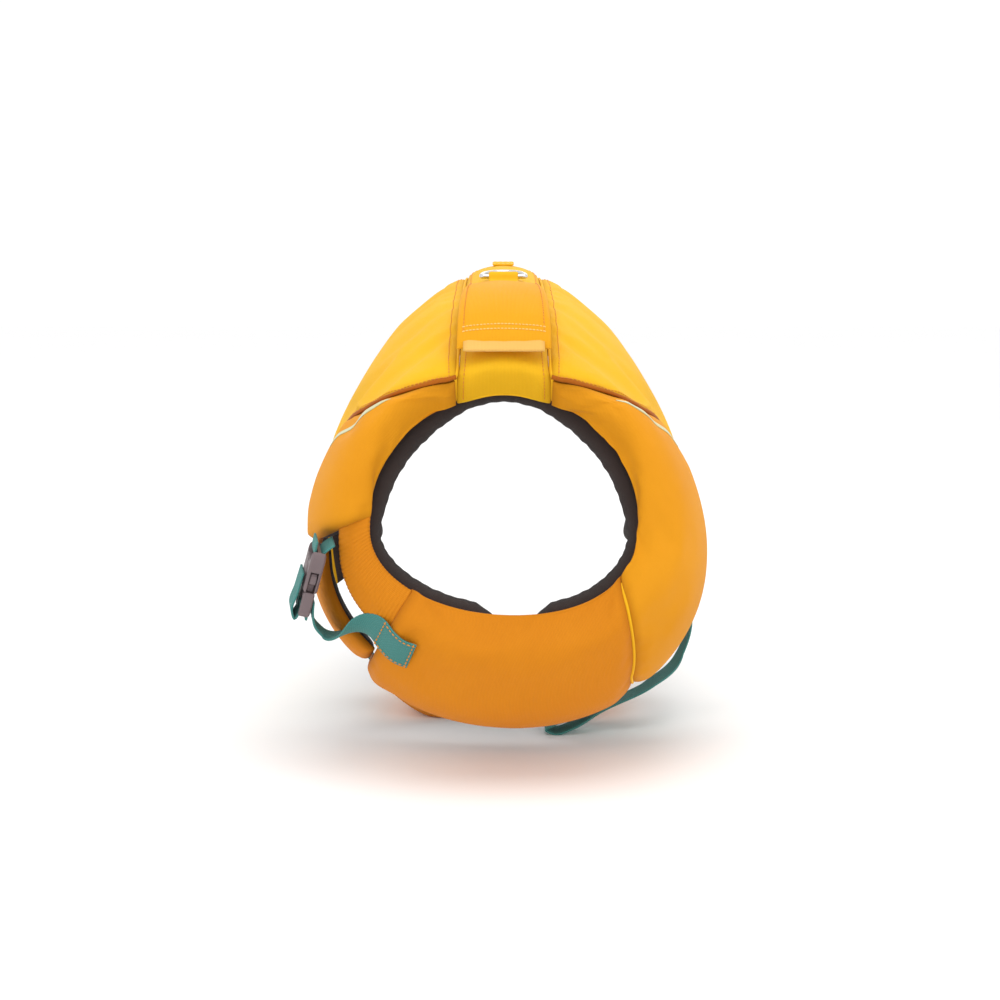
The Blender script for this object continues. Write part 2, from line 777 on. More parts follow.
COVER_YELLOW, COVER_DEEP = linear(244, 188, 26), linear(235, 173, 18)
COLLAR_ORANGE, COLLAR_DEEP = linear(231, 155, 18), linear(219, 139, 10)
CHEST_ORANGE, CHEST_DEEP = linear(220, 136, 13), linear(206, 121, 8)
cover_nylon = nylon("cover_nylon", COVER_YELLOW, COVER_DEEP)
collar_nylon = nylon("collar_nylon", COLLAR_ORANGE, COLLAR_DEEP)
chest_nylon = nylon("chest_nylon", CHEST_ORANGE, CHEST_DEEP, rib=1.25)
handle_nylon = nylon("handle_nylon", linear(240, 170, 20), linear(230, 155, 14), rib=1.3)
band_nylon = nylon("band_nylon", linear(240, 190, 104), linear(224, 168, 76))
welt_nylon = nylon("welt_nylon", linear(178, 96, 8), linear(150, 78, 6), rib=0.5)


# %% Lining and foam-backed knit
def knit(name, colour, deep):
    cloth = Finish(name, Sheen_Weight=0.12, Sheen_Roughness=0.6, Specular_IOR_Level=0.2)
    uv, u, v = cloth.cloth_uv()
    loops = (u * (TURN / 0.0016)).sin() * (v * (TURN / 0.0011)).sin()
    fuzz = cloth.noise(cloth.place(), 900.0, 2.0)
    broad = cloth.noise(cloth.place(), 14.0, 2.0)
    cloth.put("Base Color", cloth.mix(loops * 0.25 + (broad - 0.5) * 0.8 + 0.45, colour, deep))
    cloth.put("Roughness", fuzz * 0.15 + 0.82)
    cloth.bump(loops * 0.6 + fuzz * 0.6, 0.00025)
    return cloth.material


lining_knit = knit("lining_knit", linear(62, 48, 44), linear(42, 32, 30))


# %% Webbing
def webbing_weave(name, colour, deep):
    """Lengthwise ribs, with the weft showing between them as short slanted dashes."""
    cloth = Finish(name, Sheen_Weight=0.1, Specular_IOR_Level=0.35)
    uv, u, v = cloth.cloth_uv()
    ribs = (u * (TURN / 0.0021)).sin()
    dashes = (v * (TURN / 0.0017) + ribs.above(0) * math.pi).sin()
    fuzz = cloth.noise(cloth.place(), 1300.0, 2.0)
    dark = (1.0 - ribs.absolute()) * 0.55 + (1.0 - dashes) * 0.14 + (fuzz - 0.5) * 0.4
    cloth.put("Base Color", cloth.mix(dark, colour, deep))
    cloth.put("Roughness", fuzz * 0.2 + 0.62)
    cloth.bump(ribs.absolute() * 0.7 + dashes * 0.25 + fuzz * 0.3, 0.0003)
    return cloth.material


webbing_teal = webbing_weave("webbing_teal", linear(72, 142, 136), linear(28, 88, 82))
print("nylon, knit and webbing finishes are ready")


# %% Plastic, steel, tape and thread
def moulded_plastic(name, colour, deep):
    plastic = Finish(name, Specular_IOR_Level=0.45)
    place = plastic.place()
    grain = plastic.noise(place, 2600.0, 2.0)
    broad = plastic.noise(place, 45.0, 3.0)
    scuffs = plastic.noise(place, 260.0, 4.0)
    plastic.put("Base Color", plastic.mix((broad - 0.5) * 0.7 + 0.4, colour, deep))
    plastic.put("Roughness", (scuffs - 0.5) * 0.35 + 0.44)
    plastic.bump(grain * 0.7 + scuffs * 0.3, 0.00006)
    return plastic.material


def bright_steel(name):
    steel = Finish(name, Base_Color=(0.62, 0.62, 0.61, 1), Metallic=1.0)
    place = steel.place()
    scratches = steel.noise(place, 700.0, 4.0)
    smudges = steel.noise(place, 60.0, 2.0)
    steel.put("Roughness", (smudges - 0.5) * 0.25 + scratches * 0.12 + 0.2)
    steel.bump(scratches, 0.00003)
    return steel.material


def beaded_tape(name):
    tape = Finish(name, Specular_IOR_Level=0.7)
    uv, u, v = tape.cloth_uv()
    beads = (u * (TURN / 0.0006)).sin() * (v * (TURN / 0.0006)).sin()
    haze = tape.noise(tape.place(), 40.0, 3.0)
    tape.put("Base Color", tape.mix((haze - 0.5) * 1.4 + 0.5, linear(186, 208, 184),
                                    linear(208, 190, 120)))
    tape.put("Roughness", (haze - 0.5) * 0.2 + 0.38)
    tape.bump(beads, 0.00008)
    return tape.material


def twisted_thread(name, colour, deep):
    thread = Finish(name, Sheen_Weight=0.1)
    place = thread.place()
    twist = thread.noise(place, 2400.0, 1.0)
    broad = thread.noise(place, 30.0, 1.0)
    thread.put("Base Color", thread.mix(twist * 0.7 + (broad - 0.5) * 0.4, colour, deep))
    thread.put("Roughness", twist * 0.2 + 0.55)
    thread.bump(twist, 0.0001)
    return thread.material


buckle_plastic = moulded_plastic("buckle_plastic", linear(118, 102, 104), linear(94, 80, 82))
ring_steel = bright_steel("ring_steel")
reflective_tape = beaded_tape("reflective_tape")
thread_pale = twisted_thread("thread_pale", linear(248, 206, 120), linear(226, 172, 74))
thread_orange = twisted_thread("thread_orange", linear(226, 140, 26), linear(196, 110, 12))
thread_teal = twisted_thread("thread_teal", linear(60, 130, 120), linear(30, 90, 84))
stone_floor = Finish("pale_floor", Specular_IOR_Level=0.2)
stone_floor.put("Base Color", stone_floor.mix(stone_floor.noise(stone_floor.place(), 3.0),
                                              (0.955, 0.955, 0.955, 1), (0.965, 0.965, 0.965, 1)))
stone_floor.put("Roughness", stone_floor.noise(stone_floor.place(), 8.0) * 0.1 + 0.8)
floor.data.materials.append(stone_floor.material)
print("plastic, steel, tape and thread finishes are ready")

# %% [markdown]
# ## The padded panels
# Every panel is made by the same steps: its outline, two sheets, the cloth simulation, and one
# level of subdivision. The cover turns round the neck lip, so the first stretch of the inner
# sheet there is still cover cloth, and the dark lining starts behind it.

# %% One panel
LIP_TURN = 2.5               # how far the cover turns in round the neck lip


def mark_seams(mesh, name, values):
    layer = mesh.attributes.new(name, "FLOAT", "POINT")
    layer.data.foreach_set("value", np.asarray(values, float).ravel())


panels = {}
REST_HEIGHT = 0.0002


def lining_roll(angle, from_lip):
    """How far the lining stands into the neck hole behind the lip, deepest high up its sides."""
    turn = np.abs(np.asarray(angle, float))
    high = np.interp(turn, [0, 10, 24, 45, 62, 85, 105, 130, 180],
                     [5.0, 5.0, 12.0, 13.0, 11.0, 7.5, 4.0, 2.0, 2.0])
    rise = np.clip((from_lip - 1.5) / 22, 0, 1)
    fall = np.clip((150 - from_lip) / 70, 0, 1)
    return high * rise * rise * (3 - 2 * rise) * fall


def make_panel(name, body, mapping, cover, slot, spacing=7.0, pressure=2.2, slack=0.02,
               fill=0.6, limit=(2.5, 5.0), **shape):
    outer, inner, uv, seam_distance, from_lip = panel_sheets(mapping, spacing, **shape)
    rows, columns = outer.shape[:2]
    piece = closed_mesh(f"{name}_panel", outer, inner, uv)
    near = np.clip(1 - seam_distance / 9.0, 0, 1)
    mark_seams(piece.data, "seam", np.stack([near, near]))
    for material in (cover, lining_knit):
        piece.data.materials.append(material)
    sheet = (rows - 1) * (columns - 1)
    slots = np.zeros(len(piece.data.polygons), int)
    lip_row = from_lip[:-1, :-1] < LIP_TURN if shape.get("neck_edge") else np.zeros(
        (rows - 1, columns - 1), bool)
    slots[sheet:2 * sheet] = np.where(lip_row.ravel(), 0, 1)
    piece.data.polygons.foreach_set("material_index", slots)
    puff(piece, rows, columns, seam_distance, pressure, slack, limit)
    refine(piece)
    for vertex in piece.data.vertices:          # the ground holds the cloth up
        vertex.co.z = max(vertex.co.z, REST_HEIGHT)
    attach(piece, body)
    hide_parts(f"{name}_cover", f"{name}_foam", f"{name}_lining")
    panels[name] = piece
    print("   ", piece.name, "has", len(piece.data.polygons), "faces")
    return piece


# %% All eight panels
make_panel("spine", "jacket", spine_map, cover_nylon, "cover_cloth", neck_edge=True,
           spacing=6.0, slack=0.015, bulge=lining_roll)
for side_name, sign in (("left", 1), ("right", -1)):
    make_panel(f"{side_name}_side", "jacket", side_map(sign), cover_nylon, "cover_cloth",
               fullness=thin_corner, spacing=7.0, slack=0.025)
make_panel("left_collar", "jacket", collar_map(1, chest_edge, 142.0), collar_nylon,
           "collar_cloth", neck_edge=True, fullness=thin_corner, slack=0.03,
           bulge=lining_roll)
make_panel("right_collar", "jacket", collar_map(-1, lambda station: np.full_like(
    np.asarray(station, float), HEM_ANGLE), float(HEM_ANGLE)), collar_nylon, "collar_cloth",
           neck_edge=True, fullness=thin_corner, slack=0.03, bulge=lining_roll)
make_panel("chest", "jacket", chest_map, chest_nylon, "chest_cloth", neck_edge=True,
           slack=0.035, bulge=lining_roll)
make_panel("shoulder", "jacket", shoulder_map, chest_nylon, "chest_cloth", drop=5,
           thickness=12, slack=0.02)
make_panel("belly", "belly", belly_map, chest_nylon, "chest_cloth", slack=0.02)
print("made", len(panels), "panels")


# %% The lining's roll behind the neck lip
def lining_tube(name, angles, stand):
    """A padded roll of lining just behind the lip; stand is how far it shows past the lip."""
    lip = surface(np.full_like(angles, NECK_LIP), angles)
    inward = (lip.max(0) + lip.min(0)) / 2 - lip
    inward[:, 1] = 0
    inward = unit(inward)
    ends = np.clip(np.minimum(angles - angles[0], angles[-1] - angles) / ROLL_TAPER, 0, 1)
    radius = ROLL_RADIUS * np.sqrt(ends * (2 - ends) + 0.02)
    puckers = 1 + 0.035 * np.sin(np.radians(angles) * 47) * np.sin(np.radians(angles) * 13)
    back = np.array([0, ROLL_BACK, 0])
    middle = lip + inward * (stand - ROLL_RADIUS)[:, None] + back
    sides = 20
    points = []
    for i in range(len(angles)):
        for k in range(sides):
            turn = TURN * k / sides
            points.append((middle[i] + inward[i] * radius[i] * puckers[i] * math.cos(turn)
                           + np.array([0, 1.25 * radius[i] * math.sin(turn), 0])) * MM)
    faces = ring_faces(len(angles), sides)
    faces.append(tuple(range(sides))[::-1])
    faces.append(tuple(range((len(angles) - 1) * sides, len(angles) * sides)))
    places = [(index % sides * ROLL_CLOTH[0], index // sides * ROLL_CLOTH[1])
              for index in range(len(points))]
    piece = whole_mesh(name, points, faces, lining_knit, places)
    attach(piece, "jacket")
    return piece


ROLL_RADIUS, ROLL_BACK = 11.0, 24.0
ROLL_TAPER = 14                     # degrees over which an end narrows
ROLL_CLOTH = (0.0035, 0.0026)       # the knit's place from point to point, round and along
NECK_LIP = 0.002                    # the station just inside the lip
ROLL_TURNS = [0, 16, 28, 45, 62, 80, 92, 102, 118, 132, 150, 164, 178]
ROLL_STAND = [5.5, 8, 12, 14.5, 13.5, 10.5, 6.5, 4.5, 4, 3.5, 2, 1.5, -10]
turns_here = np.linspace(-ROLL_TURNS[-1], ROLL_TURNS[-1], 420)
lining_tube("lining_roll", turns_here, np.interp(np.abs(turns_here), ROLL_TURNS, ROLL_STAND))
print("a roll of lining stands behind the neck lip")

# %% [markdown]
# ## Seams
# Where two panels meet, the needle pulls both down and a narrow folded edge stands between them.
# Each seam is a slim band swept along its line on the body, and rows of stitches run beside it.
# The stitches are pressed onto the finished cloth, so every line is dropped onto the panels.

# %% Find the finished cloth
def tree_of(pieces):
    """One search tree over several meshes."""
    points, faces = [], []
    for piece in pieces:
        offset = len(points)
        points += [vertex.co.copy() for vertex in piece.data.vertices]
        faces += [[offset + index for index in polygon.vertices]
                  for polygon in piece.data.polygons]
    return BVHTree.FromPolygons(points, faces)


jacket_cloth = tree_of([piece for name, piece in panels.items() if name != "belly"])


def dropped(cloth, station, angle, lift=0.0002, reach=14.0):
    """Points of a line on the body, brought down onto the cloth from outside."""
    points = surface(station, angle)
    out = outward(station, angle)
    placed, normals = [], []
    for point, normal in zip(points, out):
        start = Vector((point + normal * reach) * MM)
        hit, face_normal, _, _ = cloth.ray_cast(start, Vector(-normal), 2.2 * reach * MM)
        if hit is None:
            hit, face_normal = Vector((point - normal * SEAM_DROP) * MM), Vector(normal)
        placed.append(hit + face_normal * lift)
        normals.append(face_normal)
    return placed, normals


# %% Sweep a flat, rounded band
def sweep(name, points, normals, width, height, material, sides=8):
    """A band with a rounded oval section along points, lying flat on their normals."""
    mesh = bpy.data.meshes.new(name)
    work = bmesh.new()
    rings = []
    count = len(points)
    walk = 0.0
    uv_layer = work.loops.layers.uv.new("cloth")
    walks = []
    for index, (point, normal) in enumerate(zip(points, normals)):
        ahead = points[min(index + 1, count - 1)] - points[max(index - 1, 0)]
        across = ahead.cross(normal).normalized()
        up = across.cross(ahead).normalized()
        if index:
            walk += (point - points[index - 1]).length
        walks.append(walk)
        ring = []
        for k in range(sides):
            turn = 2 * math.pi * k / sides
            ring.append(work.verts.new(point + across * (0.5 * width * math.cos(turn))
                                       + up * (0.5 * height * math.sin(turn))))
        rings.append(ring)
    for i in range(count - 1):
        for k in range(sides):
            m = (k + 1) % sides
            face = work.faces.new((rings[i][k], rings[i][m], rings[i + 1][m], rings[i + 1][k]))
            for loop, (row, side) in zip(face.loops, ((i, k), (i, k + 1), (i + 1, k + 1),
                                                      (i + 1, k))):
                loop[uv_layer].uv = (side / sides * width * 2, walks[row])
    work.faces.new(rings[0][::-1])
    work.faces.new(rings[-1])
    bmesh.ops.recalc_face_normals(work, faces=work.faces)
    for face in work.faces:
        face.smooth = True
    work.to_mesh(mesh)
    work.free()
    mesh.materials.append(material)
    thing = bpy.data.objects.new(name, mesh)
    bpy.context.collection.objects.link(thing)
    return thing


def join(name, pieces):
    """Joins several meshes into one piece."""
    target = pieces[0]
    with bpy.context.temp_override(active_object=target, object=target, selected_objects=pieces,
                                   selected_editable_objects=pieces):
        bpy.ops.object.join()
    target.name = name
    target.data.name = name
    return target


print("seams are dropped onto", len(panels), "panels")

# %% The seam lines
shares = np.linspace(0, 1, 90)
wave_angles = corner_angle + (97.5 - corner_angle) * shares
seam_lines = {
    "left_wave": (seam_station(wave_angles), wave_angles),
    "right_wave": (seam_station(wave_angles[:77]), -wave_angles[:77]),
    "left_spine": (0.006 + 0.99 * shares, beside_spine(0.006 + 0.99 * shares) - 0.05),
    "right_spine": (0.006 + 0.99 * shares, -beside_spine(0.006 + 0.99 * shares) + 0.05),
    "left_chest": (0.01 + 0.4 * shares, chest_edge(0.01 + 0.4 * shares)),
}
welts = []
for name, (station, angle) in seam_lines.items():
    depth = 1.6 if "wave" in name else 3.4
    low = inside(station, angle, np.full_like(station, depth))
    lifted = [Vector(point * MM) for point in low]
    normals = [Vector(normal) for normal in outward(station, angle)]
    is_wave = "wave" in name
    welts.append(sweep(f"{name}_welt", lifted, normals, 0.0036 if is_wave else 0.0026,
                       0.0030 if is_wave else 0.0024,
                       welt_nylon if is_wave else cover_nylon))
welt_seams = join("seam_welts", welts)
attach(welt_seams, "jacket")
print("swept", len(seam_lines), "seam welts")

# %% [markdown]
# ## Stitches
# A stitch is a short stretch of thread that dips into the cloth at both ends. There are far too
# many to place by hand, so Geometry Nodes walk along each seam line and set one stitch at every
# step. The same tree serves every seam, with its own step, length and thread.


# %% The stitching tree
def stitch_tree():
    tree = bpy.data.node_groups.new("stitches", "GeometryNodeTree")
    face = tree.interface
    face.new_socket("Geometry", in_out="INPUT", socket_type="NodeSocketGeometry")
    for label, value in (("Step", 0.0035), ("Length", 0.0026), ("Thickness", 0.0007)):
        socket = face.new_socket(label, in_out="INPUT", socket_type="NodeSocketFloat")
        socket.default_value = value
    face.new_socket("Seed", in_out="INPUT", socket_type="NodeSocketInt")
    face.new_socket("Thread", in_out="INPUT", socket_type="NodeSocketMaterial")
    face.new_socket("Geometry", in_out="OUTPUT", socket_type="NodeSocketGeometry")
    nodes, link = tree.nodes, tree.links.new
    given, result = nodes.new("NodeGroupInput"), nodes.new("NodeGroupOutput")
    along = nodes.new("GeometryNodeResampleCurve")
    along.mode = "LENGTH"
    link(given.outputs["Geometry"], along.inputs["Curve"])
    link(given.outputs["Step"], along.inputs["Length"])
    tangent = nodes.new("GeometryNodeInputTangent")
    turn = nodes.new("FunctionNodeAlignRotationToVector")
    turn.axis = "Z"
    link(tangent.outputs[0], turn.inputs["Vector"])
    bead = nodes.new("GeometryNodeMeshUVSphere")
    bead.inputs["Segments"].default_value = 6
    bead.inputs["Rings"].default_value = 5
    bead.inputs["Radius"].default_value = 0.5
    size = nodes.new("ShaderNodeCombineXYZ")
    link(given.outputs["Thickness"], size.inputs[0])
    link(given.outputs["Thickness"], size.inputs[1])
    link(given.outputs["Length"], size.inputs[2])
    shaped = nodes.new("GeometryNodeTransform")
    link(bead.outputs["Mesh"], shaped.inputs["Geometry"])
    link(size.outputs[0], shaped.inputs["Scale"])
    wobble = nodes.new("FunctionNodeRandomValue")
    wobble.data_type = "FLOAT"
    wobble.inputs[2].default_value = 0.9
    wobble.inputs[3].default_value = 1.08
    link(given.outputs["Seed"], wobble.inputs["Seed"])
    placed = nodes.new("GeometryNodeInstanceOnPoints")
    link(along.outputs[0], placed.inputs["Points"])
    link(shaped.outputs[0], placed.inputs["Instance"])
    link(turn.outputs[0], placed.inputs["Rotation"])
    link(wobble.outputs[1], placed.inputs["Scale"])
    real = nodes.new("GeometryNodeRealizeInstances")
    link(placed.outputs[0], real.inputs[0])
    smooth_faces = nodes.new("GeometryNodeSetShadeSmooth")
    link(real.outputs[0], smooth_faces.inputs[0])
    finish = nodes.new("GeometryNodeSetMaterial")
    link(smooth_faces.outputs[0], finish.inputs["Geometry"])
    link(given.outputs["Thread"], finish.inputs["Material"])
    link(finish.outputs[0], result.inputs[0])
    return tree


stitches = stitch_tree()


def give(modifier, tree, **values):
    """Sets a modifier's inputs by the names of the tree's sockets."""
    known = {item.name: item.identifier for item in tree.interface.items_tree
             if item.in_out == "INPUT"}
    for name, value in values.items():
        modifier[known[name]] = value


def sew(name, lines, body, thread, step=0.0034, length=0.0027, thickness=0.0008, seed=3):
    """Stitches along lines of points, as one plain mesh."""
    curve = bpy.data.curves.new(name, "CURVE")
    curve.dimensions = "3D"
    for points in lines:
        spline = curve.splines.new("POLY")
        spline.points.add(len(points) - 1)
        for target, point in zip(spline.points, points):
            target.co = (*point, 1)
    holder = bpy.data.objects.new(f"{name}_line", curve)
    bpy.context.collection.objects.link(holder)
    modifier = holder.modifiers.new("stitches", "NODES")
    modifier.node_group = stitches
    give(modifier, stitches, Step=step, Length=length, Thickness=thickness, Seed=seed,
         Thread=thread)
    graph = bpy.context.evaluated_depsgraph_get()
    mesh = bpy.data.meshes.new_from_object(holder.evaluated_get(graph))
    bpy.data.objects.remove(holder)
    bpy.data.curves.remove(curve)
    mesh.name = name
    piece = bpy.data.objects.new(name, mesh)
    bpy.context.collection.objects.link(piece)
    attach(piece, body)
    print("   ", name, "has", len(mesh.polygons), "faces")
    return piece


# %% Stitch lines on the panels
def row(station, angle, cloth=jacket_cloth, lift=0.0002):
    return dropped(cloth, np.asarray(station, float), np.asarray(angle, float), lift)[0]


MM_STATION = 1 / spine_length            # a millimetre along the body, as a share of it
beside = 7.0 * MM_STATION
cover_rows = []
for sign in (1, -1):
    last = 90 if sign > 0 else 77
    angles = wave_angles[4:last]
    cover_rows.append(row(seam_station(angles) + beside, sign * angles))
    lengthwise = 0.012 + 0.975 * shares
    spine_edge = beside_spine(lengthwise)
    cover_rows.append(row(lengthwise, sign * (spine_edge - 3.0)))
    side_rows = seam_station(corner_angle) + 0.02 + (0.985 - 0.02 - seam_station(
        corner_angle)) * shares
    cover_rows.append(row(side_rows, sign * (beside_spine(side_rows) + 2.6)))
    hem = seam_station(side_end) + 0.02 + (0.98 - 0.02 - seam_station(side_end)) * shares
    cover_rows.append(row(hem, sign * (hem_angle(hem) - 2.2)))
    rear = beside_spine(1.0) + 2 + (hem_angle(1.0) - 4 - beside_spine(1.0)) * shares
    cover_rows.append(row(np.full_like(rear, 0.982), sign * rear))
    sew(f"{'left' if sign > 0 else 'right'}_side_stitches", cover_rows[-5:], "jacket",
        thread_orange)
across_spine = (2 * shares - 1) * float(beside_spine(1.0) - 2)
sew("spine_stitches", [row(np.full_like(shares, 0.984), across_spine)], "jacket",
    thread_orange)
print("stitched", len(cover_rows), "rows on the cover")

# %% [markdown]
# ## Webbing
# A strap is a flat woven band, 25 mm wide. Each one follows a short list of places, and a
# section with shallow lengthwise ribs and rounded edges is swept along it, because a plain flat
# strip looks like paper. Its own coordinates run across and along it, for the weave.

# %% A ribbed band
WEBBING_WIDTH, WEBBING = 25.0, 1.6
RIBS = 12


def band_section(width, thickness, ribs=RIBS, per_rib=4):
    """The outline of a webbing section, once round, in millimetres."""
    places = np.linspace(-1, 1, ribs * per_rib + 1)
    rib = 0.16 * np.abs(np.sin(np.pi * ribs * (places + 1) / 2)) - 0.08
    edge = np.sqrt(np.clip(1 - np.clip((np.abs(places) - 0.93) / 0.07, 0, 1) ** 2, 0.05, 1))
    upper = [(width / 2 * x, (thickness / 2 + r) * e) for x, r, e in zip(places, rib, edge)]
    return upper + [(x, -z) for x, z in reversed(upper)]


def band_frames(stops, step=2.0):
    """Places every `step` millimetres on a smooth line through stops of (place, across)."""
    places = np.array([stop[0] for stop in stops], float)
    wide = np.array([stop[1] for stop in stops], float)
    reach = np.concatenate([[0], np.cumsum(np.linalg.norm(np.diff(places, axis=0), axis=1))])
    line = smooth(np.column_stack([reach, places, wide]))
    where = np.linspace(0, reach[-1], max(4, int(reach[-1] / step)))
    middle = line(where)[:, :3]
    forward = unit(line(where + 0.2)[:, :3] - line(where - 0.2)[:, :3])
    across = line(where)[:, 3:]
    across = unit(across - forward * (across * forward).sum(1, keepdims=True))
    return middle, across, np.cross(across, forward), where


def webbing(name, stops, body, nodes, width=WEBBING_WIDTH, thickness=WEBBING,
            material=None, step=2.0, ribs=RIBS):
    """One strap; returns it and its frames, for the stitches."""
    middle, across, up, where = band_frames(stops, step)
    section = band_section(width, thickness, ribs)
    rows, columns = len(middle), len(section)
    points = [(middle[i] + across[i] * x + up[i] * z) * MM
              for i in range(rows) for x, z in section]
    faces = (ring_faces(rows, columns) + end_faces(0, columns, False)
             + end_faces((rows - 1) * columns, columns, True))
    places = [(section[index % columns][0] * MM, where[index // columns] * MM)
              for index in range(len(points))]
    piece = whole_mesh(name, points, faces, material or webbing_teal, places)
    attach(piece, body)
    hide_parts(*nodes)
    return middle, across, up, where


def across_band(frames, share, lift=1.0, width=22.0):
    """A line of points across a strap, on its outer face."""
    middle, across, up, where = frames
    i = int(share * (len(middle) - 1))
    return [Vector((middle[i] + across[i] * x + up[i] * lift) * MM)
            for x in np.linspace(-width / 2, width / 2, 12)]


def along_band(frames, first, last, side, lift=1.0):
    middle, across, up, where = frames
    a, b = int(first * (len(middle) - 1)), int(last * (len(middle) - 1))
    return [Vector((middle[i] + across[i] * side + up[i] * lift) * MM)
            for i in range(a, b + 1)]


print("webbing is", WEBBING_WIDTH, "mm wide with", RIBS, "ribs")

# %% [markdown]
# ## Buckles' places
# A buckle is drawn with x across its strap, y along it towards the socket, and z outwards. The
# belly buckles hang on the left flank, and the neck buckle hangs below the hem flap on the
# right shoulder. The straps run through their bars, so both come from the same places.

# %% Places of the buckles
BUCKLE_THICKNESS, SOCKET_LENGTH, PLUG_LENGTH, BAR, SLOT = 11, 32, 20, 3, 4.4
LOOP_REACH = 3.2
PLUG_BAR = -PLUG_LENGTH + BAR + SLOT + BAR / 2
SOCKET_BAR = SOCKET_LENGTH - BAR / 2
HINGE_HEIGHT = SIDE_HEM_HEIGHT + 8


class BuckleFrame:
    def __init__(self, mouth, along, rough_across):
        self.mouth = np.array(mouth, float)
        self.along = unit(np.array(along, float))
        rough = np.array(rough_across, float)
        self.across = unit(rough - self.along * rough.dot(self.along))
        self.outwards = unit(np.cross(self.across, self.along))

    def point(self, x, y, z):
        return self.mouth + self.across * x + self.along * y + self.outwards * z

    def stop(self, y, z):
        return self.point(0, y, z), self.across

    def round_bar(self, bar, away):
        turns = np.radians([180, 157, 135, 112, 90, 68, 45, 23, 0])
        return [(self.point(0, bar - away * LOOP_REACH * math.sin(turn),
                            LOOP_REACH * math.cos(turn)), self.across) for turn in turns]


def belly_buckle(y):
    station = station_at(y)
    flank = surface(station, angle_at_height(station, HINGE_HEIGHT + 30))[0]
    mouth = (flank + 0.3 + 1.2 + BUCKLE_THICKNESS / 2, y + SHIFT[1], HINGE_HEIGHT)
    return BuckleFrame(mouth, (0, 0, 1), (0, 1, 0))


hem_point = surface(0.145, -HEM_ANGLE - 2)
neck_along = unit(np.array([0.27, -0.06, 0.96]))
neck_top = hem_point + np.array([-7.5, -1, -8])
neck_buckle = BuckleFrame(neck_top - neck_along * SOCKET_LENGTH, neck_along, (0.2, -0.98, 0))
socket_low, socket_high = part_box("neck_socket")
print("the neck buckle's socket is between", [round(v, 3) for v in socket_low], "and",
      [round(v, 3) for v in socket_high])


# %% Belly straps
def tail_stops(frame):
    """The free end hangs forward and folds up below the chest."""
    x, y = frame.mouth[0] - SHIFT[0], frame.mouth[1] - SHIFT[1]
    low = WEBBING / 2
    places = [(x + 3, y - 3, 82), (x - 8, y - 14, 56), (x - 36, -12, 38), (84, -21, 20),
              (58, -24, 5), (44, -24, low), (36, -24, low + 3.6), (43, -24, low + 8),
              (57, -24, low + 13), (72, -24, low + 24)]
    return [(np.array(place) + SHIFT, (0, 1, 0)) for place in places]


strap_threads, belly_threads = [], []
for name, y, has_tail in (("belly_front", BELLY_FRONT + 21, True),
                          ("belly_rear", BELLY_FRONT + BELLY_DEPTH - 21, False)):
    frame_here = belly_buckle(y)
    stop = frame_here.stop
    anchor = [stop(SOCKET_BAR + 36, -LOOP_REACH), stop(SOCKET_BAR + 16, -LOOP_REACH),
              *frame_here.round_bar(SOCKET_BAR, 1), stop(SOCKET_BAR + 8, LOOP_REACH),
              stop(SOCKET_BAR + 18, LOOP_REACH - 2)]
    frames = webbing(f"{name}_anchor_webbing", anchor, "jacket", [f"{name}_anchor"])
    strap_threads += [across_band(frames, share, lift) for share, lift in
                      ((0.03, 1.0), (0.14, 1.0), (0.98, 1.0))]
    station = station_at(y)
    edge = 180 - BELLY_HALF_ANGLE
    stops = [(inside(station, edge + (angle_at_height(station, HINGE_HEIGHT - 55) - edge)
                     * share, 5.0 + 1.4), frame_here.across) for share in (0.055, 0.3, 0.6)]
    stops += [stop(-PLUG_LENGTH - 12, -LOOP_REACH), stop(PLUG_BAR - 8, -LOOP_REACH),
              *frame_here.round_bar(PLUG_BAR, -1), stop(PLUG_BAR - 9, LOOP_REACH),
              stop(PLUG_BAR - 18, LOOP_REACH)]
    if has_tail:
        stops += tail_stops(frame_here)
    webbing(f"{name}_webbing", stops, "belly", [f"{name}_strap"])
    right = []
    for share in (0, 0.35, 0.7, 1):
        angle = -(edge + (angle_at_height(station, HINGE_HEIGHT) - edge)
                  * (0.028 + 0.972 * share))
        depth = 7.4 + (-0.3 - WEBBING / 2 - 0.4 - 7.4) * share ** 0.6
        right.append((inside(station, angle, depth), frame_here.across))
    frames = webbing(f"{name}_hinge_webbing", right, "belly", [f"{name}_hinge_strap"])
    belly_threads += [across_band(frames, share, lift) for share, lift in
                      ((0.9, -1.0), (0.97, -1.0))]
sew("belly_anchor_stitches", strap_threads, "jacket", thread_teal, seed=5)
sew("belly_hinge_stitches", belly_threads, "belly", thread_teal, seed=6)
print("the belly straps are in place")

# %% Neck straps
stop = neck_buckle.stop
seam = inside(0.155, -HEM_ANGLE - 2.4, 6.0) - neck_buckle.mouth
socket_stops = [stop(SOCKET_BAR + 9, LOOP_REACH + 0.6),
                *reversed(neck_buckle.round_bar(SOCKET_BAR, 1)),
                stop(seam.dot(neck_buckle.along), seam.dot(neck_buckle.outwards))]
webbing("neck_socket_loop", socket_stops, "jacket", ["neck_socket_webbing"])
fold = [stop(PLUG_BAR - 12, -LOOP_REACH), stop(PLUG_BAR - 6, -LOOP_REACH),
        *neck_buckle.round_bar(PLUG_BAR, -1), stop(PLUG_BAR - 7, LOOP_REACH),
        stop(PLUG_BAR - 13, LOOP_REACH + 2.4), stop(PLUG_BAR - 8, LOOP_REACH + 5.6),
        stop(PLUG_BAR + 8, LOOP_REACH + 5.2), stop(PLUG_BAR + 24, LOOP_REACH + 4.6)]
webbing("neck_tail_webbing", fold, "neck_plug", ["neck_tail"])
rising = []
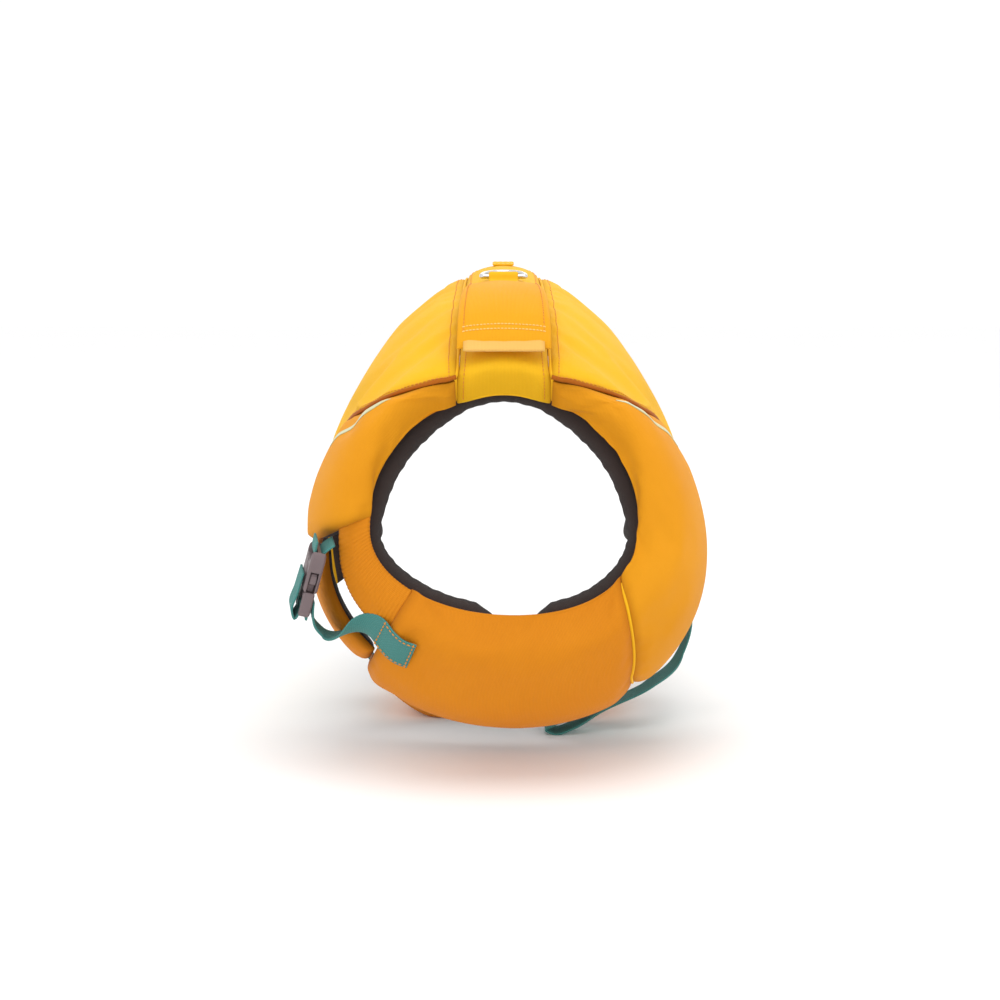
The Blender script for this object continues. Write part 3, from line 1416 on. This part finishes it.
for angle in (147, 142, 137, 132):
    wide = unit(surface(0.165, -angle) - surface(0.085, -angle))
    centre = dropped(jacket_cloth, np.array([0.125]), np.array([-angle]))[0][0]
    resting = np.array(centre) / MM + outward(0.125, -angle) * (WEBBING / 2 + 0.5)
    rising.append((resting, -wide))
behind = -LOOP_REACH - WEBBING - 0.4
rising += [stop(-PLUG_LENGTH - 13, behind - 14), stop(-PLUG_LENGTH - 7, behind - 6.2),
           stop(-PLUG_LENGTH + 3, behind - 2), stop(-PLUG_LENGTH + 12, behind - 0.33)]
neck_frames = webbing("neck_strap_webbing", rising, "jacket", ["neck_strap"])
box_stitch = [across_band(neck_frames, share, lift) for share in (0.03, 0.27)
              for lift in (1.0, -1.0)]
box_stitch += [along_band(neck_frames, 0.03, 0.27, side, lift) for side in (-10.5, 10.5)
               for lift in (1.0, -1.0)]
sew("neck_strap_stitches", box_stitch, "jacket", thread_orange, thickness=0.0011)
print("the neck straps are in place")

# %% [markdown]
# ## The handle and the leash ring
# The handle is a padded grip over a webbing band, arched above the back and sewn down at both
# ends. The ring lies in a small keeper behind it, with a loop for a lamp further back. The loop
# and the keeper are cut from the yellow nylon of the back.

# %% The crest of the back
HANDLE_WIDTH, HANDLE_NARROW, HANDLE_THICK, HANDLE_RISE = 72.0, 60.0, 6.0, 16.5
HANDLE_FRONT, HANDLE_REAR = -147.0, -4.2


def spine_height(y):
    """How high the middle of the back is, at a place along it, in millimetres."""
    return float(surface(station_at(y), 0.0)[2])


def over_back(y, height, x=0.0):
    return np.array([x, y, spine_height(y) + height]) + np.array([SHIFT[0], SHIFT[1], 0.0])


def handle_arch(share):
    return math.sin(math.pi * min(max(share, 0), 1) ** 0.55) ** 1.3 * HANDLE_RISE


# %% The padded grip
def handle_map(share, side, layer):
    """A place on the grip: share along it, side from -1 to 1 across it, layer from 0 to 1."""
    y = HANDLE_FRONT + (HANDLE_REAR - HANDLE_FRONT) * share
    width = HANDLE_WIDTH + (HANDLE_NARROW - HANDLE_WIDTH) * min(max(share, 0), 1)
    end = min(share, 1 - share) * (HANDLE_REAR - HANDLE_FRONT)
    thin = math.sqrt(min(1.0, max(end, 0) / 9 + 0.10))
    edge = (1 - min(1, max(0.0, abs(side) - 0.72) / 0.28) ** 2.2) ** 0.5
    half = HANDLE_THICK / 2 * (0.16 + 0.84 * edge) * thin
    crown = 1.1 * (1 - side * side) - 1.6 * abs(side) ** 3
    lift = 1.2 + (1.0 + HANDLE_THICK / 2) * min(1.0, max(end, 0) / 14)
    middle = lift + handle_arch(share) + crown
    sag = 0.35 * math.sin(side * 5 + 2) * math.sin(share * 9)
    rise = half * (2 * layer - 1) + (sag if layer > 0.5 else 0)
    return over_back(y, middle + rise, side * width / 2)


def padded_band(name, rows=72, columns=34):
    points, places = [], []
    section = [(-1 + 2 * k / columns, 1) for k in range(columns + 1)]
    section += [(x, 0) for x, _ in reversed(section)]
    around = len(section)
    for i in range(rows + 1):
        for side, layer in section:
            points.append(handle_map(i / rows, side, layer) * MM)
            places.append((side * HANDLE_WIDTH / 2 * MM, i / rows * 0.15))
    faces = (ring_faces(rows + 1, around) + end_faces(0, around, False)
             + end_faces(rows * around, around, True))
    return whole_mesh(name, points, faces, handle_nylon, places)


grip = padded_band("handle_pad")
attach(grip, "jacket")
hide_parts("handle_grip")
handle_stops = []
for share in (-0.045, 0.02, 0.08, 0.16, 0.26, 0.38, 0.5, 0.62, 0.74, 0.86, 0.95, 1.06):
    y = HANDLE_FRONT + (HANDLE_REAR - HANDLE_FRONT) * share
    y = min(max(y, HANDLE_FRONT - 6.0), HANDLE_REAR + 7)
    handle_stops.append((over_back(y, 0.9 + handle_arch(share)), (1.0, 0.0, 0.0)))
webbing("handle_band", handle_stops, "jacket", ["handle_webbing"], width=62.0,
        thickness=1.4, material=band_nylon, ribs=4)


def grip_line(first, last, side, inset=0.25, count=70):
    return [Vector(handle_map(first + (last - first) * k / count, side, 1) * MM)
            + Vector((0, 0, inset * MM)) for k in range(count + 1)]


def grip_cross(share, half=0.86, inset=0.25, count=30):
    return [Vector(handle_map(share, -half + 2 * half * k / count, 1) * MM)
            + Vector((0, 0, inset * MM)) for k in range(count + 1)]


sew("handle_edge_stitches", [grip_line(0.04, 0.96, side) for side in (-0.86, 0.86)],
    "jacket", thread_orange)
sew("handle_end_stitches", [grip_cross(share) for share in (0.035, 0.05, 0.955, 0.97)],
    "jacket", thread_pale, step=0.0026, length=0.0023, thickness=0.0011)
print("the handle has", len(grip.data.polygons), "faces")

# %% The leash ring, its keeper and the lamp loop
RING_AT = np.array([0.0, 28.35, 386.14])
RING_WIRE, RING_INNER, RING_DEPTH, RING_SLOPE = 4.0, 34.0, 26.0, math.radians(6.9)


def ring_path(count=96):
    """The middle of the wire: a straight bar and a rounded bow, lying back from the bar."""
    half = RING_INNER / 2 + RING_WIRE / 2
    turns = np.linspace(0.04, math.pi - 0.04, 60)
    bow = [(half * math.cos(turn), (RING_DEPTH + 0.2) * math.sin(turn) ** 0.8)
           for turn in turns]
    outline = [*bow, (-half + 0.8, 0.0), (half - 0.8, 0.0), bow[0]]
    loop = np.array([(x, RING_AT[1] + y * math.cos(RING_SLOPE),
                      RING_AT[2] + y * math.sin(RING_SLOPE)) for x, y in outline])
    reach = np.concatenate([[0], np.cumsum(np.linalg.norm(np.diff(loop, axis=0), axis=1))])
    where = np.linspace(0, reach[-1], count + 1)[:-1]
    return np.column_stack([np.interp(where, reach, loop[:, axis]) for axis in range(3)])


def closed_tube(name, path, radius, sides=14):
    count = len(path)
    flat = unit(np.cross(path[10] - path[0], path[30] - path[0]))
    points, faces = [], []
    for i in range(count):
        ahead = unit(path[(i + 1) % count] - path[i - 1])
        side = unit(np.cross(ahead, flat))
        for k in range(sides):
            turn = 2 * math.pi * k / sides
            points.append((path[i] + side * radius * math.cos(turn)
                           + flat * radius * math.sin(turn)) * MM)
    for i in range(count):
        for k in range(sides):
            j, m = (i + 1) % count, (k + 1) % sides
            faces.append((i * sides + k, i * sides + m, j * sides + m, j * sides + k))
    return whole_mesh(name, points, faces, ring_steel)


ring = closed_tube("leash_ring_wire", ring_path(), RING_WIRE / 2)
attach(ring, "leash_ring")
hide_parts("leash_ring")


def level(y, dy, height):
    return over_back(y + dy, height), (1.0, 0.0, 0.0)


RING_Y = RING_AT[1] - SHIFT[1]
keeper = [level(RING_Y, dy, height) for dy, height in
          ((-18, 1.5), (-9, 1.5), (-4.3, 3.1), (-2.3, 7.2), (0, 8.2), (2.3, 7.2), (4.3, 3.1),
           (9, 1.5), (18, 1.5))]
keeper_frames = webbing("leash_keeper_loop", keeper, "jacket", ["leash_keeper"],
                        material=cover_nylon, step=1.0, ribs=4)
LAMP_Y = 198.1
lamp = [level(LAMP_Y, dy, height) for dy, height in
        ((-22, 1.4), (-14, 1.4), (-9, 2.3), (0, 3.0), (8, 2.3), (12, 1.6), (15, 1.4))]
lamp_frames = webbing("lamp_holder", lamp, "jacket", ["lamp_loop"], width=20.0,
                      material=cover_nylon, step=1.0, ribs=4)
sew("crest_stitches", [across_band(keeper_frames, share, 1.0) for share in
                       (0.04, 0.15, 0.85, 0.96)]
    + [across_band(lamp_frames, share, 1.0, 17.0) for share in (0.05, 0.15, 0.93)],
    "jacket", thread_pale)
print("the ring, its keeper and the lamp loop are on the crest")

# %% [markdown]
# ## Buckles
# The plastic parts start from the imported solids, because they have to fit each other. Their
# flat faces are joined up, their edges rounded, and a raised pad with ribs for the fingers is
# added to the outer face of each, so that they read as moulded.


# %% Moulded parts
def moulded(name, body):
    """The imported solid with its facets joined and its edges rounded."""
    source = frame["nodes"][name]
    work = bmesh.new()
    work.from_mesh(source.data)
    bmesh.ops.remove_doubles(work, verts=work.verts, dist=2e-5)
    bmesh.ops.dissolve_limit(work, angle_limit=math.radians(2), verts=work.verts,
                             edges=work.edges)
    sharp = [edge for edge in work.edges
             if len(edge.link_faces) == 2 and edge.calc_face_angle(0) > math.radians(35)]
    bmesh.ops.bevel(work, geom=sharp, offset=0.0007, segments=2, profile=0.55,
                    affect="EDGES", clamp_overlap=True)
    bmesh.ops.triangulate(work, faces=[face for face in work.faces if len(face.verts) > 4])
    mesh = bpy.data.meshes.new(f"{name}_moulded")
    work.to_mesh(mesh)
    work.free()
    mesh.polygons.foreach_set("use_smooth", [True] * len(mesh.polygons))
    mesh.set_sharp_from_angle(angle=math.radians(40))
    mesh.materials.append(buckle_plastic)
    piece = bpy.data.objects.new(f"{name}_moulded", mesh)
    bpy.context.collection.objects.link(piece)
    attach(piece, body)
    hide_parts(name)
    return piece


def swelling(name, at, low, high, height, body, sides=28, rows=6):
    """A raised pad on a buckle's outer face, from low to high in the buckle's own x and y."""
    middle = [(a + b) / 2 for a, b in zip(low, high)]
    half = [(b - a) / 2 for a, b in zip(low, high)]
    points = []
    for i in range(rows + 1):
        grow = math.cos(0.5 * math.pi * i / (rows + 1)) ** 0.5
        rise = height * math.sin(0.5 * math.pi * i / (rows + 0.5)) - 0.3
        for k in range(sides):
            turn = 2 * math.pi * k / sides
            c, s = math.cos(turn), math.sin(turn)
            x = middle[0] + half[0] * grow * math.copysign(abs(c) ** 0.5, c)
            y = middle[1] + half[1] * grow * math.copysign(abs(s) ** 0.5, s)
            points.append(at(x, y, rise) * MM)
    faces = ring_faces(rows + 1, sides)
    faces.append(tuple(range(rows * sides, (rows + 1) * sides)))
    faces.append(tuple(reversed(range(sides))))
    piece = whole_mesh(name, points, faces, buckle_plastic)
    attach(piece, body)
    return piece


def dress_buckle(name, buckle, plug_body):
    moulded(f"{name}_socket", "jacket")
    moulded(f"{name}_plug", plug_body)
    for arm in ("front", "rear"):
        moulded(f"{name}_arm_{arm}", f"{name}_arm_{arm}")
    face = BUCKLE_THICKNESS / 2

    def outer(x, y, z):
        return buckle.point(x, y, face + z)

    def outer_plug(x, y, z):
        return buckle.point(x, y, face - 1 + z)

    swelling(f"{name}_socket_pad", outer, (-9, 4), (9, 20), 1.5, "jacket")
    for index, y in enumerate((22.2, 23.9)):
        swelling(f"{name}_socket_rib_{index}", outer, (-8, y - 0.5), (8, y + 0.5), 1.0,
                 "jacket", sides=16, rows=3)
    for index, y in enumerate((-3.2, -5.0, -6.8)):
        swelling(f"{name}_plug_rib_{index}", outer_plug, (-9, y - 0.5), (9, y + 0.5), 1.0,
                 plug_body, sides=16, rows=3)


for label, y in (("belly_front", BELLY_FRONT + 21),
                 ("belly_rear", BELLY_FRONT + BELLY_DEPTH - 21)):
    dress_buckle(label, belly_buckle(y), "belly")
dress_buckle("neck", neck_buckle, "neck_plug")
print("three buckles are dressed")

# %% [markdown]
# ## Reflective slivers and the tongue
# A pointed sliver of reflective tape lies below the wavy seam on each side, and a ribbed tongue
# of cloth hangs behind the neck buckle.

# %% Slivers of tape
for sign, label in ((1, "left"), (-1, "right")):
    columns = np.linspace(0, 1, 40)
    angles = 39.5 + 21 * columns
    half = (0.004 + 0.022 * np.sin(np.pi * columns) ** 0.8) / 2
    middle_station = 0.55 * seam_station(angles) + 0.04
    strips = [row(middle_station + half * v, sign * angles, lift=0.0003)
              for v in (-1, -0.6, 0, 0.6, 1)]
    points = [point for strip in strips for point in strip]
    count = len(columns)
    faces = [(i * count + k, i * count + k + 1, (i + 1) * count + k + 1, (i + 1) * count + k)
             for i in range(4) for k in range(count - 1)]
    mesh = bpy.data.meshes.new(f"{label}_tape")
    mesh.from_pydata([tuple(point) for point in points], [], faces)
    work = bmesh.new()
    work.from_mesh(mesh)
    bmesh.ops.recalc_face_normals(work, faces=work.faces)
    outside = sum(face.normal.dot(face.calc_center_median()
                                  - Vector((0, face.calc_center_median().y, 0.2)))
                  for face in work.faces)
    if outside < 0:
        bmesh.ops.reverse_faces(work, faces=work.faces)
    work.to_mesh(mesh)
    work.free()
    mesh.polygons.foreach_set("use_smooth", [True] * len(mesh.polygons))
    mesh.materials.append(reflective_tape)
    tape = bpy.data.objects.new(f"{label}_tape", mesh)
    bpy.context.collection.objects.link(tape)
    wall = tape.modifiers.new("wall", "SOLIDIFY")
    wall.thickness = 0.0005
    wall.offset = -0.2
    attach(tape, "jacket")
    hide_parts(f"{label}_trim")
print("two slivers of tape are laid on the collars")


# %% The tongue
def tongue_map(s, t, layer):
    angle = -(HEM_ANGLE - 0.5 + (CHEST_RIGHT_ANGLE + 1.0 - HEM_ANGLE) * s)
    station = 0.004 + 0.121 * t
    rise = min(max(station / 0.05, 0), 1)
    rib = 0.5 * abs(math.sin(26 * math.pi * s)) if layer < 0.5 else 0
    return inside(station, angle, 1 + 6 * rise + (2 * layer - 1) * 1.5 + 0.5 - rib)


columns, rows = 104, 16
outer_sheet = np.array([[tongue_map(k / columns, i / rows, 0) for k in range(columns + 1)]
                        for i in range(rows + 1)])
inner_sheet = np.array([[tongue_map(k / columns, i / rows, 1) for k in range(columns + 1)]
                        for i in range(rows + 1)])
print("the tongue has", outer_sheet.shape[0] * outer_sheet.shape[1], "places a side")
tongue_uv = np.stack(np.meshgrid(np.arange(rows + 1) * 2.5, np.arange(columns + 1) * 0.9,
                                 indexing="ij"), -1) * MM
tongue = closed_mesh("neck_tongue_ribbed", outer_sheet, inner_sheet, tongue_uv)
tongue.data.materials.append(chest_nylon)
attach(tongue, "jacket")
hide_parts("neck_tongue")
print("the tongue hangs behind the neck buckle")
